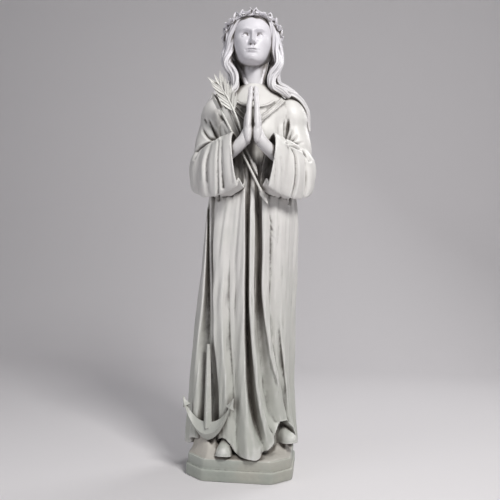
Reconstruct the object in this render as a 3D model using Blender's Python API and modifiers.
"""A praying young saint in a wide-sleeved gown, on a two-tier plinth with cut corners.

She has loose wavy hair under a wreath of leaves and roses. Two arrows and a palm branch
lie in the crook of her right arm, and an anchor leans on her skirt.

Metres, +Z up. The front faces -Y, and the origin is the middle of the plinth's underside.
The figure is a free form: its places are shares of FIGURE_HEIGHT, with x to the viewer's
right, y to the back and z up from the plinth's top. It is turned on the plinth at the end.
"""

import math

import bmesh
import bpy
import numpy as np
from mathutils import Euler, Matrix, Vector

# Driving dimensions
FIGURE_HEIGHT = 1.52
FIGURE_TURN = math.radians(6)
PLINTH_WIDTH = 0.365
PLINTH_DEPTH = 0.345
PLINTH_CHAMFER = 0.066
PLINTH_FOOT_HEIGHT = 0.038
PLINTH_TOP_HEIGHT = 0.034
PLINTH_STEP = 0.006
PLINTH_EDGE = 0.004
SEAT_GAP = 0.0003

ARROW_DIAMETER = 0.0085
ARROW_HEAD_LENGTH = 0.052
ARROW_HEAD_WIDTH = 0.020
ARROW_HEAD_THICKNESS = 0.010
ARROW_VANE_LENGTH = 0.050
ARROW_VANE_HEIGHT = 0.011
ARROW_VANE_THICKNESS = 0.003
PALM_STEM_DIAMETER = 0.0085
PALM_LEAFLET_LENGTH = 0.062
PALM_LEAFLET_WIDTH = 0.012
PALM_LEAFLET_THICKNESS = 0.0035
PALM_PAIRS = 8

ANCHOR_SPAN = 0.189
ANCHOR_RISE = 0.119
ANCHOR_CROWN = 0.043
ANCHOR_THICKNESS = 0.024
ANCHOR_BARB_LENGTH = 0.036
ANCHOR_BARB_WIDTH = 0.034
ANCHOR_SHANK_LENGTH = 0.300
ANCHOR_SHANK_WIDTH = 0.027
ANCHOR_SHANK_TAPER = 0.45
ANCHOR_YAW = math.radians(-25)
ANCHOR_RECLINE = math.radians(-5)
ANCHOR_LEAN = math.radians(-3.5)
ANCHOR_MARGIN = 0.0020
FIT_GAP = 0.0005

# Grain and fineness of the figure's solid
FIGURE_VOXEL = 0.0042
FIGURE_TRIANGLES = 7900

PLINTH_HEIGHT = PLINTH_FOOT_HEIGHT + PLINTH_TOP_HEIGHT

# The figure's own proportions, as shares of its height
BODY_X = 0.009
HANDS_X = 0.0066

# Gown: height, middle x, middle y, half-width, half-depth
GOWN_STATIONS = (
    (0.000, -0.003, 0.000, 0.1240, 0.102),
    (0.110, -0.006, 0.000, 0.1160, 0.095),
    (0.260, -0.004, 0.000, 0.1110, 0.090),
    (0.410, 0.003, 0.000, 0.1070, 0.085),
    (0.545, 0.009, 0.000, 0.1020, 0.080),
    (0.640, 0.009, 0.000, 0.0890, 0.072),
    (0.740, 0.009, 0.002, 0.0870, 0.068),
    (0.790, 0.009, 0.004, 0.0860, 0.056),
    (0.812, 0.009, 0.005, 0.0680, 0.046),
    (0.828, 0.009, 0.006, 0.0440, 0.038),
    (0.838, 0.009, 0.006, 0.0300, 0.030),
)
GOWN_COLUMNS = 180
GOWN_ROWS = 70
GOWN_CORE = 0.80
FOLD_FADE = (0.56, 0.70)

# Heights at which each fold line of the gown is given
FOLD_HEIGHTS = (0.02, 0.126, 0.258, 0.545)
# Fold lines of the front, left to right: sharpness, angles from the front, lifts
FRONT_FOLDS = (
    (1, (-84, -84, -86, -92), (-0.006, -0.005, -0.004, -0.002)),
    (1, (-62, -60, -64, -73), (0.010, 0.009, 0.007, 0.004)),
    (2, (-51, -50, -53, -67), (-0.022, -0.024, -0.020, -0.009)),
    (2, (-38, -38, -46, -63.5), (-0.022, -0.024, -0.020, -0.009)),
    (1, (-28, -29, -37, -58), (0.004, 0.005, 0.006, 0.004)),
    (1, (-18, -19, -27, -46), (0.004, 0.006, 0.006, 0.002)),
    (1, (-6, -7, -14, -29), (-0.006, -0.010, -0.008, -0.001)),
    (1, (9, 3, -1, -11), (0.022, 0.009, 0.006, 0.004)),
    (3, (28, 14.6, 6.6, -5.9), (-0.001, -0.014, -0.014, -0.011)),
    (1, (36, 23.7, 13.1, 0.9), (0.008, 0.009, 0.005, 0.002)),
    (3, (42, 30, 21, 7.2), (-0.001, -0.012, -0.015, -0.013)),
    (3, (50, 41, 26, 9.2), (-0.002, -0.018, -0.016, -0.013)),
    (1, (60, 54.7, 33, 15.5), (0.003, 0.005, 0.005, 0.003)),
    (3, (66, 60, 43.7, 29), (-0.001, -0.004, -0.005, -0.0005)),
    (1, (73, 66, 58.7, 44), (0.006, 0.006, 0.006, 0.003)),
    (1, (90, 86, 82, 74), (-0.006, -0.005, -0.004, -0.001)),
)
# Folds round the back: how many, and the lift of a ridge and of a valley at hem and hip
BACK_FOLDS = 7
BACK_RIDGE = (0.012, 0.004)
BACK_VALLEY = (-0.014, -0.005)
BACK_SHARPNESS = 1.6
# Where the hem is lifted clear of the ground: angle, half-width in degrees and lift
HEM_LIFTS = ((-25, 15, 0.040), (57, 20, 0.058), (-62, 18, 0.030))
HEM_REACH = 0.14

# Collar and neckline of her left side, in the front view: x from the middle, and height
COLLAR = ((0.052, 0.802), (0.040, 0.783), (0.020, 0.757), (0.000, 0.733))
NECKLINE = ((0.046, 0.795), (0.030, 0.783), (0.012, 0.778), (0.000, 0.777))
COLLAR_RADIUS = 0.0042
NECKLINE_RADIUS = 0.0030

# Upper arm of her left side: x from the middle of the body, y, height and radius
UPPER_ARM = (
    (0.058, 0.006, 0.788, 0.026),
    (0.084, 0.002, 0.774, 0.038),
    (0.096, 0.000, 0.735, 0.037),
    (0.103, -0.006, 0.690, 0.040),
    (0.104, -0.010, 0.650, 0.034),
)
# Bell of the sleeve, elbow to mouth: x, y, height, half-height, half-thickness, turn
BELL = (
    (0.136, 0.012, 0.640, 0.016, 0.008, 78),
    (0.131, 0.004, 0.636, 0.043, 0.022, 72),
    (0.116, -0.018, 0.632, 0.060, 0.035, 60),
    (0.090, -0.052, 0.630, 0.068, 0.038, 45),
    (0.060, -0.080, 0.638, 0.068, 0.035, 30),
    (0.031, -0.103, 0.650, 0.062, 0.030, 15),
)
# Inside of the bell, mouth to elbow, in the same order
BELL_INSIDE = (
    (0.031, -0.103, 0.650, 0.056, 0.024, 15),
    (0.060, -0.080, 0.640, 0.058, 0.026, 30),
    (0.088, -0.054, 0.636, 0.034, 0.014, 45),
)
BELL_DROOP = 0.22
# Creases round the bell: share of the way to the mouth, half-width and depth
BELL_CREASES = ((0.30, 0.05, 0.006), (0.55, 0.05, 0.008), (0.80, 0.05, 0.005))
BELL_COLUMNS = 40
BELL_ROWS = 36

# Hands: y and height of wrist and fingertip of the two joined hands
WRIST = (-0.116, 0.694)
FINGERTIP = (-0.096, 0.812)
# Forearm of her left side: x from the middle of the hands, y, height and radius
FOREARM = (
    (0.0105, -0.115, 0.712, 0.0115),
    (0.0180, -0.117, 0.694, 0.0130),
    (0.0310, -0.113, 0.680, 0.0135),
    (0.0550, -0.095, 0.664, 0.0160),
    (0.0800, -0.064, 0.655, 0.0190),
)
# Fingers, little finger first: place across the hand, start and reach from the wrist
FINGERS = (
    (0.0165, 0.046, 0.098),
    (0.0055, 0.048, 0.114),
    (-0.0055, 0.048, 0.120),
    (-0.0165, 0.048, 0.111),
)
# Thumb: place across the hand, distance from the wrist and radius
THUMB = ((-0.016, 0.014, 0.0070), (-0.025, 0.036, 0.0070), (-0.024, 0.062, 0.0055))
FINGER_RADIUS = 0.0060
PALM_RADII = (0.0105, 0.0245, 0.036)

# Head: middle, tilt back, and its forms as places and radii in its own frame
HEAD_CENTRE = (0.000, -0.004, 0.922)
HEAD_TILT = math.radians(15)
HEAD_FORMS = (
    ((0.000, 0.000, 0.000), (0.0460, 0.0575, 0.0610)),
    ((0.000, -0.014, -0.030), (0.0340, 0.0400, 0.0340)),
    ((0.000, -0.045, -0.051), (0.0140, 0.0105, 0.0110)),
    ((0.000, -0.057, -0.015), (0.0065, 0.0080, 0.0060)),
    ((0.000, -0.053, -0.001), (0.0048, 0.0062, 0.0190)),
    ((0.000, -0.051, -0.032), (0.0130, 0.0062, 0.0050)),
    ((0.000, 0.010, 0.006), (0.0530, 0.0600, 0.0655)),
)
# Neck: x, y, height and radius
NECK = (
    (0.009, 0.008, 0.800, 0.0330),
    (0.008, 0.004, 0.830, 0.0265),
    (0.005, 0.000, 0.862, 0.0258),
    (0.002, 0.000, 0.895, 0.0270),
)

# Locks beside the face, from the parting down: x, y, height and radius
LOCKS = (
    (
        (0.006, -0.048, 0.975, 0.010), (0.030, -0.050, 0.962, 0.012),
        (0.046, -0.034, 0.930, 0.012), (0.050, -0.026, 0.895, 0.011),
        (0.053, -0.026, 0.868, 0.012), (0.046, -0.024, 0.846, 0.011),
        (0.053, -0.030, 0.828, 0.011), (0.070, -0.026, 0.821, 0.011),
        (0.088, -0.016, 0.811, 0.008),
    ),
    (
        (0.010, -0.030, 0.982, 0.010), (0.040, -0.024, 0.962, 0.012),
        (0.052, -0.012, 0.925, 0.012), (0.056, -0.010, 0.888, 0.012),
        (0.054, -0.008, 0.858, 0.013), (0.060, -0.008, 0.836, 0.012),
        (0.080, -0.006, 0.826, 0.012), (0.104, -0.004, 0.812, 0.012),
        (0.126, 0.002, 0.782, 0.011), (0.136, 0.008, 0.738, 0.008),
    ),
    (
        (-0.006, -0.048, 0.975, 0.010), (-0.030, -0.050, 0.962, 0.012),
        (-0.045, -0.034, 0.930, 0.012), (-0.047, -0.026, 0.898, 0.011),
        (-0.049, -0.026, 0.874, 0.012), (-0.038, -0.022, 0.850, 0.010),
        (-0.034, -0.026, 0.832, 0.010), (-0.042, -0.038, 0.812, 0.010),
        (-0.050, -0.046, 0.792, 0.007),
    ),
    (
        (-0.010, -0.030, 0.982, 0.010), (-0.040, -0.024, 0.962, 0.012),
        (-0.051, -0.012, 0.925, 0.012), (-0.052, -0.010, 0.892, 0.012),
        (-0.044, -0.004, 0.862, 0.012), (-0.042, -0.004, 0.840, 0.012),
        (-0.056, -0.002, 0.826, 0.012), (-0.080, 0.004, 0.815, 0.011),
        (-0.098, 0.012, 0.792, 0.008),
    ),
)
# Locks down the back: share of the half-width, y, height and radius
BACK_LOCKS = 7
BACK_LOCK_WIDTH = 0.050
BACK_LOCK_DROP = 0.030
BACK_LOCK = (
    (0.30, 0.034, 0.974, 0.013),
    (0.80, 0.052, 0.945, 0.014),
    (0.95, 0.058, 0.905, 0.014),
    (0.90, 0.050, 0.866, 0.014),
    (1.05, 0.050, 0.830, 0.014),
    (1.25, 0.062, 0.795, 0.014),
    (1.20, 0.072, 0.755, 0.013),
    (1.05, 0.074, 0.715, 0.011),
    (0.95, 0.070, 0.690, 0.007),
)
LOCK_WAVE = 0.0045

# Wreath: a ring tilted back, its radii, and its leaves and roses
WREATH_CENTRE = (0.000, 0.004, 0.944)
WREATH_RADII = (0.056, 0.062)
WREATH_TILT = math.radians(36)
WREATH_STEM_RADIUS = 0.0042
WREATH_LEAVES = 20
WREATH_ROSES = 8
WREATH_LEAF = (0.024, 0.014, 0.006)
ROSE_RADIUS = 0.0085

# Shoes and ground: middle, radii, and turn about the upright in degrees
SHOES = (
    ((-0.039, -0.086, 0.013), (0.0185, 0.034, 0.018), -6),
    ((0.092, -0.040, 0.016), (0.0190, 0.036, 0.020), 52),
)
GROUND = (
    ((-0.004, -0.004, 0.000), (0.1100, 0.1010, 0.009), 0),
    ((-0.084, -0.064, 0.014), (0.0440, 0.0430, 0.041), 8),
    ((-0.118, -0.018, 0.026), (0.0140, 0.0300, 0.030), 0),
    ((-0.056, -0.040, 0.008), (0.0450, 0.0450, 0.028), 30),
    ((-0.090, 0.030, 0.004), (0.0340, 0.0420, 0.022), -20),
    ((0.080, 0.010, 0.002), (0.0360, 0.0560, 0.014), 10),
)

# Arrows: nock and point of each
ARROWS = (
    ((-0.0830, -0.068, 0.800), (0.0440, -0.100, 0.556)),
    ((-0.0640, -0.068, 0.802), (0.0210, -0.090, 0.618)),
)
# Palm branch: points of the stem from the hand up, the bare share of it, and the leaflets' spread
PALM_STEM = (
    (-0.0170, -0.092, 0.716),
    (-0.0300, -0.093, 0.748),
    (-0.0450, -0.092, 0.780),
    (-0.0660, -0.092, 0.815),
)
PALM_BARE = 0.25
PALM_SPREAD = math.radians(38)

# Anchor: middle of the underside of its crown
ANCHOR_FOOT = (-0.0770, -0.084, 0.0485)

# Outlines of flat pointed forms: share of the length, share of the width
LEAF_OUTLINE = ((0.0, 0.25), (0.30, 0.90), (0.60, 0.90), (1.0, 0.10))
HEAD_OUTLINE = ((0.0, 0.40), (0.08, 1.0), (1.0, 0.06))
VANE_OUTLINE = ((0.0, 0.55), (0.20, 1.0), (0.90, 1.0), (1.0, 0.75))

STONE_GREY = (0.66, 0.65, 0.62, 1.0)
PLINTH_GREY = (0.58, 0.60, 0.56, 1.0)


def clear_scene():
    """Takes the startup scene's objects away."""
    for obj in list(bpy.data.objects):
        bpy.data.objects.remove(obj)


def collection(name):
    """A new collection under the scene."""
    made = bpy.data.collections.new(name)
    bpy.context.scene.collection.children.link(made)
    return made


def finish(obj, name, colour, roughness):
    """Gives an object its own plain finish."""
    made = bpy.data.materials.new(name)
    made.use_nodes = True
    shader = made.node_tree.nodes["Principled BSDF"]
    shader.inputs["Base Color"].default_value = colour
    shader.inputs["Roughness"].default_value = roughness
    shader.inputs["Metallic"].default_value = 0.0
    obj.data.materials.clear()
    obj.data.materials.append(made)


def smooth(t):
    """An even rise from 0 to 1."""
    t = np.clip(t, 0, 1)
    return t * t * (3 - 2 * t)


def bump(distance, width):
    """A round bump of height 1 and the given half-width."""
    return np.exp(-((distance / width) ** 2))


def unit(vector):
    """A direction of length 1."""
    return np.array(vector, float) / np.linalg.norm(vector)


def spline(stations, at):
    """Smooth values through stations (place, values...) at the places given."""
    stations = np.array(stations, float)
    place, values = stations[:, 0], stations[:, 1:]
    slope = np.gradient(values, place, axis=0)
    at = np.clip(np.asarray(at, float), place[0], place[-1])
    i = np.clip(np.searchsorted(place, at, side="right") - 1, 0, len(place) - 2)
    step = (place[i + 1] - place[i])[..., None]
    t = (at - place[i])[..., None] / step
    return (
        values[i] * (1 + 2 * t) * (1 - t) ** 2
        + values[i + 1] * t * t * (3 - 2 * t)
        + slope[i] * step * t * (1 - t) ** 2
        + slope[i + 1] * step * t * t * (t - 1)
    )


def along_path(path, count):
    """Points and values at even steps along a smooth line through the path's own points."""
    path = np.array(path, float)
    run = np.linalg.norm(np.diff(path[:, :3], axis=0), axis=1)
    place = np.concatenate([[0], np.cumsum(run)])
    return spline(np.column_stack([place, path]), np.linspace(0, place[-1], count))


def mesh_object(name, points, faces, home):
    """A closed mesh object, its faces turned outwards."""
    mesh = bpy.data.meshes.new(name)
    mesh.from_pydata([tuple(p) for p in points], [], faces)
    shape = bmesh.new()
    shape.from_mesh(mesh)
    bmesh.ops.recalc_face_normals(shape, faces=shape.faces)
    shape.to_mesh(mesh)
    shape.free()
    made = bpy.data.objects.new(name, mesh)
    home.objects.link(made)
    return made


def loft(name, rings, home):
    """A closed skin over rings of points given in shares, each end closed to its middle."""
    count, around = rings.shape[:2]
    points = np.concatenate([rings.reshape(-1, 3), [rings[0].mean(0), rings[-1].mean(0)]])
    faces = []
    for row in range(count - 1):
        for c in range(around):
            a, b = row * around + c, row * around + (c + 1) % around
            faces.append((a, b, b + around, a + around))
    first, last = count * around, count * around + 1
    top = (count - 1) * around
    for c in range(around):
        faces.append((first, (c + 1) % around, c))
        faces.append((last, top + c, top + (c + 1) % around))
    return mesh_object(name, points * FIGURE_HEIGHT, faces, home)


def to_mesh(obj):
    """Replaces a curve object by a mesh object in the same place."""
    view = obj.evaluated_get(bpy.context.evaluated_depsgraph_get())
    mesh = bpy.data.meshes.new_from_object(view)
    shape = bmesh.new()
    shape.from_mesh(mesh)
    bmesh.ops.remove_doubles(shape, verts=shape.verts, dist=1e-6)
    bmesh.ops.recalc_face_normals(shape, faces=shape.faces)
    shape.to_mesh(mesh)
    shape.free()
    made = bpy.data.objects.new(obj.name + "_mesh", mesh)
    made.matrix_world = obj.matrix_world
    obj.users_collection[0].objects.link(made)
    bpy.data.objects.remove(obj)
    return made


def tube(name, path, home, sides=3):
    """A round form along a path of points and radii, all in shares."""
    curve = bpy.data.curves.new(name, "CURVE")
    curve.dimensions = "3D"
    curve.bevel_depth = FIGURE_HEIGHT
    curve.bevel_resolution = sides
    curve.use_fill_caps = True
    line = curve.splines.new("POLY")
    line.points.add(len(path) - 1)
    for point, (x, y, z, radius) in zip(line.points, path):
        point.co = (x * FIGURE_HEIGHT, y * FIGURE_HEIGHT, z * FIGURE_HEIGHT, 1.0)
        point.radius = radius
    made = bpy.data.objects.new(name, curve)
    home.objects.link(made)
    return to_mesh(made)


def ball(name, centre, radii, home, turn=Euler((0, 0, 0)), segments=24):
    """An ellipsoid with its middle and radii in shares."""
    mesh = bpy.data.meshes.new(name)
    sphere = bmesh.new()
    bmesh.ops.create_uvsphere(sphere, u_segments=segments, v_segments=segments // 2, radius=1.0)
    sphere.transform(
        Matrix.LocRotScale(Vector(centre) * FIGURE_HEIGHT, turn, Vector(radii) * FIGURE_HEIGHT)
    )
    sphere.to_mesh(mesh)
    sphere.free()
    made = bpy.data.objects.new(name, mesh)
    home.objects.link(made)
    return made


def blade(name, base, along, across, size, outline, home, sides=6):
    """A flat pointed form of length, width and thickness from its base, in shares."""
    length, width, thickness = size
    along = unit(along)
    across = unit(across - along * np.dot(across, along))
    normal = np.cross(along, across)
    angles = np.arange(sides) * 2 * np.pi / sides
    rings = [
        np.array(base)
        + along * length * share
        + np.outer(np.cos(angles), across) * width / 2 * breadth
        + np.outer(np.sin(angles), normal) * thickness / 2 * max(breadth, 0.4)
        for share, breadth in outline
    ]
    return loft(name, np.array(rings), home)


def joined(name, objects, home):
    """One mesh object with the shells of all the objects; the objects are taken away."""
    shape = bmesh.new()
    for obj in objects:
        obj.data.transform(obj.matrix_world)
        shape.from_mesh(obj.data)
        bpy.data.objects.remove(obj)
    mesh = bpy.data.meshes.new(name)
    shape.to_mesh(mesh)
    shape.free()
    made = bpy.data.objects.new(name, mesh)
    home.objects.link(made)
    return made


def settled(obj):
    """Puts an object's modifiers into its mesh."""
    view = obj.evaluated_get(bpy.context.evaluated_depsgraph_get())
    mesh = bpy.data.meshes.new_from_object(view)
    obj.modifiers.clear()
    obj.data = mesh
    return obj


def boolean(obj, other, operation):
    """Joins another closed object to this one, or cuts it away."""
    step = obj.modifiers.new(operation.lower(), "BOOLEAN")
    step.operation = operation
    step.solver = "EXACT"
    step.object = other
    settled(obj)


def fused(objects):
    """The first object with the others joined on to it as one solid."""
    first = objects[0]
    for other in objects[1:]:
        boolean(first, other, "UNION")
        bpy.data.objects.remove(other)
    return first


def keep_largest(obj):
    """Takes away every loose shell of a mesh but the largest."""
    shape = bmesh.new()
    shape.from_mesh(obj.data)
    waiting = set(shape.verts)
    shells = []
    while waiting:
        stack = [waiting.pop()]
        shell = list(stack)
        while stack:
            for edge in stack.pop().link_edges:
                for vert in edge.verts:
                    if vert in waiting:
                        waiting.remove(vert)
                        stack.append(vert)
                        shell.append(vert)
        shells.append(shell)
    shells.sort(key=len)
    for shell in shells[:-1]:
        bmesh.ops.delete(shape, geom=shell, context="VERTS")
    shape.to_mesh(obj.data)
    shape.free()


def carved(obj, voxel, triangles):
    """Turns overlapping closed shells into one skin of about the given number of triangles."""
    remesh = obj.modifiers.new("skin", "REMESH")
    remesh.mode = "VOXEL"
    remesh.voxel_size = voxel
    settled(obj)
    obj.data.calc_loop_triangles()
    thin = obj.modifiers.new("thin", "DECIMATE")
    thin.ratio = min(1.0, triangles / len(obj.data.loop_triangles))
    thin.use_collapse_triangulate = True
    settled(obj)
    keep_largest(obj)
    return obj


def fold_lines():
    """Every fold line in order round the gown: sharpness, angles and lifts."""
    lines = list(FRONT_FOLDS)
    first, last = FRONT_FOLDS[0][1], FRONT_FOLDS[-1][1]
    for step in range(1, 2 * BACK_FOLDS):
        share = step / (2 * BACK_FOLDS) + 0.012 * math.sin(step * 2.4)
        angles = tuple(b + (360 + a - b) * share for a, b in zip(first, last))
        ends = BACK_RIDGE if step % 2 else BACK_VALLEY
        lean = 1 + 0.35 * math.sin(step * 1.7)
        lifts = tuple(
            lean * np.interp(z, (FOLD_HEIGHTS[0], FOLD_HEIGHTS[-1]), ends) for z in FOLD_HEIGHTS
        )
        lines.append((BACK_SHARPNESS, angles, lifts))
    return lines


def fold_lift(lines, angles, height):
    """How far the folds stand out of the gown's plain section at one height."""
    heights = np.array(FOLD_HEIGHTS)
    table = np.array([(*a, *b) for _, a, b in lines]).T.reshape(2, len(heights), len(lines))
    place, lift = (
        spline(np.column_stack([heights, part]), np.array([height]))[0] for part in table
    )
    sharp = np.array([line[0] for line in lines], float)
    place = np.append(place, place[0] + 360)
    lift = np.append(lift, lift[0])
    sharp = np.append(sharp, sharp[0])
    angles = (angles - place[0]) % 360 + place[0]
    i = np.clip(np.searchsorted(place, angles, side="right") - 1, 0, len(lines) - 1)
    t = (angles - place[i]) / (place[i + 1] - place[i])
    start, end = lift[i], lift[i + 1]
    falling = start + (end - start) * smooth(t) ** sharp[i + 1]
    rising = end + (start - end) * smooth(1 - t) ** sharp[i]
    fade = 1 - smooth((height - FOLD_FADE[0]) / (FOLD_FADE[1] - FOLD_FADE[0]))
    return np.where(start >= end, falling, rising) * fade


def hem_height(angles):
    """Height of the hem round the gown."""
    height = np.zeros_like(angles)
    for middle, width, lift in HEM_LIFTS:
        away = (angles - middle + 180) % 360 - 180
        height = height + lift * bump(away, width)
    return height


def gown_ring(lines, angles, height, inset=1.0):
    """One ring of the gown at a height, drawn in by a share."""
    middle_x, middle_y, wide, deep = spline(GOWN_STATIONS, np.array([height]))[0]
    turn = np.radians(angles)
    plain = 1 / np.hypot(np.sin(turn) / wide, np.cos(turn) / deep)
    radius = (plain + fold_lift(lines, angles, height)) * inset
    rise = hem_height(angles) * max(0.0, 1 - height / HEM_REACH) ** 2
    return np.column_stack(
        [middle_x + radius * np.sin(turn), middle_y - radius * np.cos(turn), height + rise]
    )


def gown_front(x, height):
    """The y of the gown's front at an x from the body's middle."""
    _, middle_y, wide, deep = spline(GOWN_STATIONS, np.array([height]))[0]
    return middle_y - deep * math.sqrt(max(0.0, 1 - (x / wide) ** 2))


def gown(home):
    """The gown: a folded skin round oval sections, over a core that reaches the ground."""
    lines = fold_lines()
    angles = np.linspace(-180, 180, GOWN_COLUMNS, endpoint=False)
    base = gown_ring(lines, angles, 0.0, GOWN_CORE)
    under = base.copy()
    under[:, 2] += 0.004
    base[:, 2] = -0.004
    heights = np.linspace(0.0, GOWN_STATIONS[-1][0], GOWN_ROWS)
    rings = [base, under] + [gown_ring(lines, angles, height) for height in heights]
    parts = [loft("gown", np.array(rings), home)]
    for line, radius in ((COLLAR, COLLAR_RADIUS), (NECKLINE, NECKLINE_RADIUS)):
        half = [(x, gown_front(x, z), z) for x, z in line]
        whole = half + [(-x, y, z) for x, y, z in half[-2::-1]]
        path = [(BODY_X + x, y, z, radius) for x, y, z in whole]
        parts.append(tube("collar", along_path(path, 30), home))
    return parts


def bell_rings(side, stations, count, creased):
    """Rings of the bell of one sleeve."""
    stations = np.array(stations, float)
    place = np.linspace(0, 1, len(stations))
    at = np.linspace(0, 1, count)
    x, y, z, tall, thick, turn = spline(np.column_stack([place, stations]), at).T
    turn = np.radians(turn)
    around = np.linspace(0, 2 * np.pi, BELL_COLUMNS, endpoint=False)
    depth = np.zeros_like(at)
    if creased:
        for middle, width, deep in BELL_CREASES:
            depth = depth + deep * bump(at - middle, width)
    breadth = np.outer(thick - depth, np.cos(around)) * (1 - BELL_DROOP * np.sin(around))
    height = np.outer(tall - depth * 0.5, np.sin(around))
    return np.stack(
        [
            BODY_X + side * (x[:, None] + breadth * np.sin(turn)[:, None]),
            y[:, None] - breadth * np.cos(turn)[:, None],
            z[:, None] + height,
        ],
        axis=2,
    )


def sleeve(side, home):
    """One sleeve: a round upper arm, and a hanging bell hollowed at the mouth."""
    arm = [(BODY_X + side * x, y, z, radius) for x, y, z, radius in UPPER_ARM]
    outside = bell_rings(side, BELL, BELL_ROWS, True)
    inside = bell_rings(side, BELL_INSIDE, BELL_ROWS // 3, False)
    return [
        tube("upper_arm", along_path(arm, 16), home, 5),
        loft("bell", np.concatenate([outside, inside]), home),
    ]


def hand(side, home):
    """One hand of the praying pair, with its forearm."""
    wrist = np.array([HANDS_X, *WRIST])
    along = unit(np.array([0.0, *FINGERTIP]) - np.array([0.0, *WRIST]))
    front = np.array([0.0, -along[2], along[1]])
    out = np.array([side, 0.0, 0.0])
    lean = Euler((-math.atan2(along[1], along[2]), 0, 0))
    parts = [ball("palm", wrist + along * 0.032 + out * 0.0105, PALM_RADII, home, lean)]
    for across, start, reach in FINGERS:
        root = wrist + along * start + front * across + out * 0.0085
        knuckle = wrist + along * (start + reach) / 2 + front * across * 0.94 + out * 0.0075
        tip = wrist + along * reach + front * across * 0.70 + out * 0.0050
        points = [
            (*root, FINGER_RADIUS * 1.15),
            (*knuckle, FINGER_RADIUS * 1.05),
            (*tip, FINGER_RADIUS * 0.75),
        ]
        parts.append(tube("finger", along_path(points, 8), home))
        parts.append(ball("tip", tip, (FINGER_RADIUS * 0.75,) * 3, home))
    thumb = [
        (*(wrist + along * up + front * across + out * 0.0075), radius)
        for across, up, radius in THUMB
    ]
    parts.append(tube("thumb", along_path(thumb, 8), home))
    forearm = [(HANDS_X + side * x, y, z, radius) for x, y, z, radius in FOREARM]
    parts.append(tube("forearm", along_path(forearm, 14), home, 4))
    return parts


def head(home):
    """Head and neck, the head tilted back."""
    tilt = Euler((-HEAD_TILT, 0, 0))
    turn = np.array(tilt.to_matrix())
    parts = [
        ball("head_form", np.array(HEAD_CENTRE) + turn @ np.array(place), radii, home, tilt, 32)
        for place, radii in HEAD_FORMS
    ]
    parts.append(tube("neck", along_path(NECK, 12), home, 5))
    return parts


def hair(home):
    """Locks beside the face and down the back."""
    parts = [tube("lock", along_path(lock, 40), home) for lock in LOCKS]
    for step in range(BACK_LOCKS):
        share = 2 * step / (BACK_LOCKS - 1) - 1
        path = along_path(BACK_LOCK, 44)
        run = np.linspace(0, 1, len(path))
        wave = LOCK_WAVE * smooth(run * 3) * np.sin(run * 15 + step * 2.1)
        x = path[:, 0] * share * BACK_LOCK_WIDTH + wave + BODY_X * run
        y = path[:, 1] - BACK_LOCK_DROP * share**2 * (1 - run) + 0.3 * wave
        lock = np.column_stack([x, y, path[:, 2], path[:, 3]])
        parts.append(tube("back_lock", lock, home))
    return parts


def wreath_place(angle):
    """A place on the wreath's ring, and the direction out of the ring there."""
    side = np.array([math.sin(angle), 0.0, 0.0])
    front = np.array([0.0, -math.cos(WREATH_TILT), math.sin(WREATH_TILT)]) * math.cos(angle)
    wide, deep = WREATH_RADII
    return np.array(WREATH_CENTRE) + side * wide + front * deep, unit(side + front)


def wreath(home):
    """The ring of leaves and roses round the head."""
    axis = np.array([0.0, math.sin(WREATH_TILT), math.cos(WREATH_TILT)])
    ring = [(*wreath_place(angle)[0], WREATH_STEM_RADIUS) for angle in np.linspace(0, 2 * np.pi, 33)]
    parts = [tube("wreath_stem", ring, home, 2)]
    for step in range(WREATH_LEAVES):
        place, out = wreath_place(2 * math.pi * (step + 0.5) / WREATH_LEAVES)
        run = np.cross(axis, out) * (1 if step % 2 else -1)
        lean = out * 0.55 + run * 0.8 + axis * (0.35 if step % 3 else -0.25)
        parts.append(blade("leaf", place, lean, axis + out * 0.3, WREATH_LEAF, LEAF_OUTLINE, home))
    for step in range(WREATH_ROSES):
        place, out = wreath_place(2 * math.pi * (step + 0.3) / WREATH_ROSES)
        parts.append(ball("rose", place + out * 0.003, (ROSE_RADIUS,) * 3, home, segments=16))
    return parts


def figure(home):
    """The saint, cast in one with her shoes and the ground she stands on."""
    parts = gown(home) + head(home) + hair(home) + wreath(home)
    for side in (-1, 1):
        parts += sleeve(side, home) + hand(side, home)
    for centre, radii, turn in SHOES + GROUND:
        parts.append(ball("form", centre, radii, home, Euler((0, 0, math.radians(turn)))))
    return carved(joined("figure", parts, home), FIGURE_VOXEL, FIGURE_TRIANGLES)


def arrow(name, nock, point, home):
    """An arrow: shaft, spear-shaped head and three vanes."""
    nock, point = np.array(nock), np.array(point)
    along = unit(point - nock)
    side = unit(np.cross(along, (0, -1, 0)))
    back = np.cross(along, side)
    radius = ARROW_DIAMETER / 2 / FIGURE_HEIGHT
    size = np.array([ARROW_HEAD_LENGTH, ARROW_HEAD_WIDTH, ARROW_HEAD_THICKNESS]) / FIGURE_HEIGHT
    neck = point - along * size[0]
    parts = [
        tube("shaft", [(*nock, radius), (*(neck + along * 0.004), radius)], home, 2),
        blade("point", neck, along, side, size, HEAD_OUTLINE, home, 4),
    ]
    size = np.array([ARROW_VANE_LENGTH, ARROW_VANE_HEIGHT, ARROW_VANE_THICKNESS]) / FIGURE_HEIGHT
    for turn in (60, 180, 300):
        reach = side * math.sin(math.radians(turn)) + back * math.cos(math.radians(turn))
        base = nock + along * 0.004 + reach * size[1] / 2
        parts.append(blade("vane", base, along, reach, size, VANE_OUTLINE, home, 4))
    made = fused(parts)
    made.name = name
    return made


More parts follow.
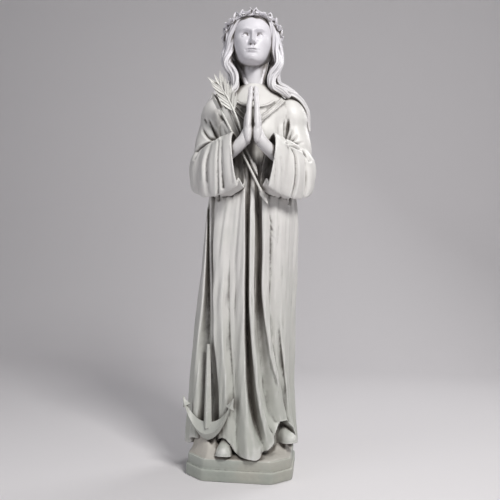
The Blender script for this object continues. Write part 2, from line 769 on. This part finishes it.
def palm_branch(home):
    """A palm branch: a tapering stem with pairs of pointed leaflets and a pointed end."""
    path = along_path([(*place, 0.0) for place in PALM_STEM], 24)
    radius = PALM_STEM_DIAMETER / 2 / FIGURE_HEIGHT
    path[:, 3] = radius * (1 - 0.5 * np.linspace(0, 1, len(path)))
    parts = [tube("stem", path, home, 2)]
    size = np.array([PALM_LEAFLET_LENGTH, PALM_LEAFLET_WIDTH, PALM_LEAFLET_THICKNESS])
    size = size / FIGURE_HEIGHT
    for pair in range(PALM_PAIRS):
        share = PALM_BARE + (1 - PALM_BARE) * pair / (PALM_PAIRS - 1) * 0.94
        i = int(share * (len(path) - 1))
        along = unit(path[min(i + 1, len(path) - 1), :3] - path[i - 1, :3])
        across = unit(np.cross(along, (0, -1, 0)))
        spread = PALM_SPREAD * (1.15 - 0.45 * share)
        for side in (-1, 1):
            out = along * math.cos(spread) + across * side * math.sin(spread)
            out[1] += -0.10 + 0.12 * ((pair * 5 + side) % 3 - 1)
            base = path[i, :3] + across * side * radius * 0.2
            grow = size * (1 - 0.25 * abs(share - 0.6), 1, 1)
            parts.append(blade("leaflet", base, out, across, grow, LEAF_OUTLINE, home))
    along = unit(path[-1, :3] - path[-2, :3])
    end = path[-1, :3] - along * 0.004
    parts.append(blade("end", end, along, (1, 0, 0.3), size * 0.8, LEAF_OUTLINE, home))
    made = fused(parts)
    made.name = "palm_branch"
    return made


def prism(name, outline, near, far, home):
    """An upright outline of (x, z) given depth from one y to another, in metres."""
    count = len(outline)
    points = [(x, y, z) for y in (near, far) for x, z in outline]
    faces = [tuple(range(count)), tuple(range(2 * count - 1, count - 1, -1))]
    for i in range(count):
        j = (i + 1) % count
        faces.append((j, i, i + count, j + count))
    return mesh_object(name, points, faces, home)


def crescent(margin):
    """Outline of the anchor's arms, grown by a margin, its underside's middle at the origin."""
    share = np.linspace(-1, 1, 25)
    x = share * (ANCHOR_SPAN / 2 + margin)
    low = ANCHOR_RISE * np.abs(share) ** 1.75 - margin
    high = ANCHOR_CROWN + (ANCHOR_RISE - ANCHOR_CROWN) * np.abs(share) ** 1.9 + margin
    high[[0, -1]] = low[[0, -1]] + 0.004 + 2 * margin
    return list(zip(x, low)) + list(zip(x[::-1], high[::-1]))


def barb(side, margin):
    """Outline of the pointed barb at one end of the arms."""
    along = np.array([0.42 * side, 0.907])
    across = np.array([along[1], -along[0]])
    tip = np.array([side * ANCHOR_SPAN / 2, ANCHOR_RISE]) + along * (0.005 + 2 * margin)
    base = tip - along * (ANCHOR_BARB_LENGTH + 3 * margin)
    half = across * (ANCHOR_BARB_WIDTH / 2 + 1.5 * margin)
    return [tuple(tip), tuple(base + half), tuple(base - half)]


def shank(name, margin, home):
    """The anchor's shank: a square bar set edge on, narrower at the top."""
    low = ANCHOR_SHANK_WIDTH / 2 + margin
    high = ANCHOR_SHANK_WIDTH / 2 * ANCHOR_SHANK_TAPER + margin
    ends = ((ANCHOR_CROWN * 0.5, low), (ANCHOR_SHANK_LENGTH + margin, high))
    rings = np.array([[(r, 0, z), (0, r, z), (-r, 0, z), (0, -r, z)] for z, r in ends])
    return loft(name, rings / FIGURE_HEIGHT, home)


def anchor_place():
    """Where the anchor stands, before the figure is turned."""
    return (
        Matrix.Translation(Vector(ANCHOR_FOOT) * FIGURE_HEIGHT)
        @ Matrix.Rotation(ANCHOR_YAW, 4, "Z")
        @ Matrix.Rotation(ANCHOR_RECLINE, 4, "X")
        @ Matrix.Rotation(ANCHOR_LEAN, 4, "Y")
    )


def anchor(home):
    """The anchor: crescent arms with barbed ends, and a shank."""
    near, far = -ANCHOR_THICKNESS / 2, ANCHOR_THICKNESS / 2
    parts = [prism("arms", crescent(0.0), near, far, home)]
    for side in (-1, 1):
        parts.append(prism("barb", barb(side, 0.0), near * 0.7, far * 0.7, home))
    parts.append(shank("shank", 0.0, home))
    made = fused(parts)
    made.data.transform(anchor_place())
    made.name = "anchor"
    return made


def anchor_cutters(home):
    """Room for the anchor in the figure, from its back face outwards."""
    near, far = -0.25, ANCHOR_THICKNESS / 2 + FIT_GAP
    outlines = [crescent(ANCHOR_MARGIN), barb(-1, ANCHOR_MARGIN), barb(1, ANCHOR_MARGIN)]
    parts = [prism("arms_room", outline, near, far, home) for outline in outlines]
    parts.append(shank("shank_room", FIT_GAP * 1.6, home))
    for part in parts:
        part.data.transform(anchor_place())
    return parts


def rod_cutter(name, start, end, diameter, home):
    """A straight round hole between two places in shares, with a gap round the rod."""
    radius = (diameter / 2 + FIT_GAP) / FIGURE_HEIGHT
    reach = unit(np.array(end) - np.array(start)) * FIT_GAP / FIGURE_HEIGHT
    ends = (np.array(start) - reach, np.array(end) + reach)
    return tube(name, [(*place, radius) for place in ends], home, 3)


def box(name, size, centre, home):
    """A box from a cube."""
    mesh = bpy.data.meshes.new(name)
    cube = bmesh.new()
    bmesh.ops.create_cube(cube, size=1.0)
    cube.transform(Matrix.LocRotScale(Vector(centre), None, Vector(size)))
    cube.to_mesh(mesh)
    cube.free()
    made = bpy.data.objects.new(name, mesh)
    home.objects.link(made)
    return made


def tier(name, inset, bottom, top, home):
    """One tier of the plinth with its four corners cut."""
    x, y = PLINTH_WIDTH / 2 - inset, PLINTH_DEPTH / 2 - inset
    cut = PLINTH_CHAMFER - inset * (2 - math.sqrt(2))
    outline = [(x - cut, y), (x, y - cut), (x, cut - y), (x - cut, -y)]
    outline += [(cut - x, -y), (-x, cut - y), (-x, y - cut), (cut - x, y)]
    points = [(px, py, z) for z in (bottom, top) for px, py in outline]
    faces = [tuple(range(8)), tuple(range(8, 16))]
    faces += [(i, (i + 1) % 8, (i + 1) % 8 + 8, i + 8) for i in range(8)]
    return mesh_object(name, points, faces, home)


def plinth(home):
    """The two-tier plinth with cut corners and softened top edges."""
    low = tier("foot", 0.0, 0.0, PLINTH_FOOT_HEIGHT, home)
    high = tier("top", PLINTH_STEP, PLINTH_FOOT_HEIGHT / 2, PLINTH_HEIGHT, home)
    made = fused([low, high])
    edge = made.modifiers.new("edge", "BEVEL")
    edge.width = PLINTH_EDGE
    edge.segments = 1
    edge.limit_method = "ANGLE"
    edge.angle_limit = math.radians(60)
    settled(made)
    made.name = "plinth"
    return made


def main():
    """Builds the statue."""
    clear_scene()
    home = collection("saint_statue")
    cutters = collection("cutters")
    stone = figure(home)
    rooms = anchor_cutters(cutters)
    for number, (nock, point) in enumerate(ARROWS, 1):
        rooms.append(rod_cutter(f"arrow_room_{number}", nock, point, ARROW_DIAMETER, cutters))
    rooms.append(
        rod_cutter("stem_room", PALM_STEM[0], PALM_STEM[1], PALM_STEM_DIAMETER, cutters)
    )
    floor = (PLINTH_WIDTH * 2, PLINTH_DEPTH * 2, 0.2)
    rooms.append(box("floor_room", floor, (0, 0, -0.1), cutters))
    for room in rooms:
        boolean(stone, room, "DIFFERENCE")
        room.hide_render = True
        room.display_type = "WIRE"
    keep_largest(stone)

    pieces = [stone, anchor(home), palm_branch(home)]
    for number, (nock, point) in enumerate(ARROWS, 1):
        pieces.append(arrow(f"arrow_{number}", nock, point, home))
    lift = Matrix.Translation((0, 0, PLINTH_HEIGHT + SEAT_GAP))
    place = lift @ Matrix.Rotation(FIGURE_TURN, 4, "Z")
    for piece in pieces:
        piece.data.transform(place)
        finish(piece, piece.name, STONE_GREY, 0.55)
    for room in rooms:
        room.data.transform(place)
    finish(plinth(home), "plinth", PLINTH_GREY, 0.6)


main()
